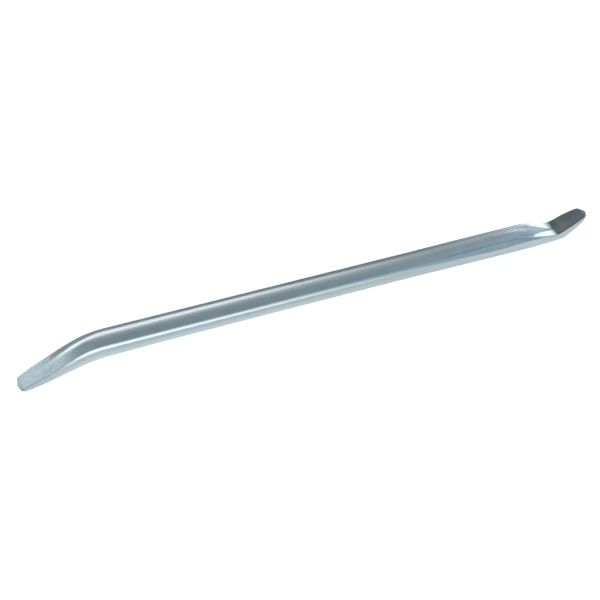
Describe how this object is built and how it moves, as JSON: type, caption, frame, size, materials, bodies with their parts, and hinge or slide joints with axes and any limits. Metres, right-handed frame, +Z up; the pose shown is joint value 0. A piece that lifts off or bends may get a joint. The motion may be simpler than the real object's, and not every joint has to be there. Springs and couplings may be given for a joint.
{
  "type": "pry bar",
  "caption": "Forged hexagonal pry bar, with a down-turned flat chisel at one end and a short up-turned blade at the other.",
  "frame": {"origin": "middle of the footprint, on the surface that the bar lies on", "axes": "+X along the bar from the down-turned chisel to the up-turned blade, +Y across the bar, +Z up"},
  "size_m": [0.4154, 0.0168, 0.0302],
  "materials": {
    "zinc_steel": "bright zinc plating over a forged surface, bluish silver, brighter along the worn corners"
  },
  "bodies": {
    "root": {"bar": "zinc_steel"}
  },
  "joints": []
}
